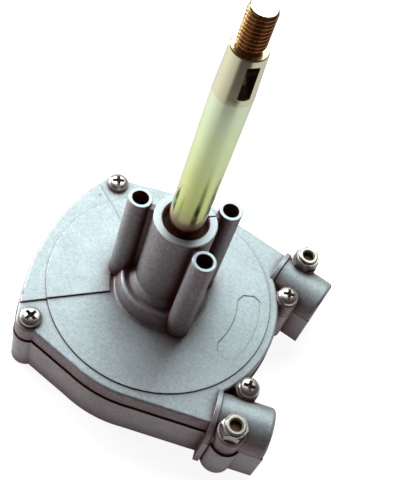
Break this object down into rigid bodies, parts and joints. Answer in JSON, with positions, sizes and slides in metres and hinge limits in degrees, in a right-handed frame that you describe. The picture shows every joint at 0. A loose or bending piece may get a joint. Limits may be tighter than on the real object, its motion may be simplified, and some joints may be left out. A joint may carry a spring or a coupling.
{
  "type": "boat steering helm",
  "caption": "Mechanical boat steering helm: round cast casing with a tall hub, a tapered wheel shaft, mounting posts and clamped outlets for a push-pull cable.",
  "frame": {"origin": "on the shaft axis, in the flat rear face of the casing", "axes": "+Z along the shaft towards the steering wheel, +X towards the two cable outlets"},
  "size_m": [0.1635, 0.1408, 0.2476],
  "materials": {
    "cast_aluminium": "as-cast, fine grain",
    "drum_aluminium": "as-cast, machined groove",
    "yellow_zinc_steel": "yellow chromate over zinc, polished",
    "gear_steel": "cut teeth, oiled",
    "spring_steel": "blued wire",
    "bush_polymer": "moulded",
    "black_rubber": "moulded",
    "zinc_steel": "bright zinc plate",
    "lock_nylon": "moulded"
  },
  "bodies": {
    "casing": {"rear_housing": "cast_aluminium", "front_cover": "cast_aluminium", "ring_gear": "gear_steel", "upper_bush": "bush_polymer", "lower_bush": "bush_polymer", "rear_bush": "bush_polymer", "drum_thrust_washer": "bush_polymer", "shaft_seal": "black_rubber", "cover_screws": "zinc_steel", "cable_bolts": "zinc_steel", "lock_nuts": "zinc_steel", "lock_nut_inserts": "lock_nylon"},
    "shaft": {"steering_shaft": "yellow_zinc_steel", "sun_pinion": "gear_steel", "pinion_snap_ring": "spring_steel"},
    "drum": {"cable_drum": "drum_aluminium", "drum_bush": "bush_polymer", "carrier_plate": "zinc_steel", "planet_pins": "zinc_steel"},
    "planet_1": {"planet_gear_1": "gear_steel"},
    "planet_2": {"planet_gear_2": "gear_steel"},
    "planet_3": {"planet_gear_3": "gear_steel"}
  },
  "joints": [
    {"name": "steering_spin", "type": "hinge", "parent": "casing", "child": "shaft", "pos_m": [0, 0, 0.1], "axis": [0, 0, 1], "continuous": true},
    {"name": "drum_spin", "type": "hinge", "parent": "casing", "child": "drum", "pos_m": [0, 0, 0.02], "axis": [0, 0, 1], "continuous": true},
    {"name": "planet_1_spin", "type": "hinge", "parent": "drum", "child": "planet_1", "pos_m": [0.027, 0, 0.01], "axis": [0, 0, 1], "continuous": true},
    {"name": "planet_2_spin", "type": "hinge", "parent": "drum", "child": "planet_2", "pos_m": [-0.0135, 0.02338, 0.01], "axis": [0, 0, 1], "continuous": true},
    {"name": "planet_3_spin", "type": "hinge", "parent": "drum", "child": "planet_3", "pos_m": [-0.0135, -0.02338, 0.01], "axis": [0, 0, 1], "continuous": true}
  ],
  "couplings": [
    {"joint": "drum_spin", "follows": "steering_spin", "ratio": 0.16667},
    {"joint": "planet_1_spin", "follows": "steering_spin", "ratio": -0.41667},
    {"joint": "planet_2_spin", "follows": "steering_spin", "ratio": -0.41667},
    {"joint": "planet_3_spin", "follows": "steering_spin", "ratio": -0.41667}
  ]
}
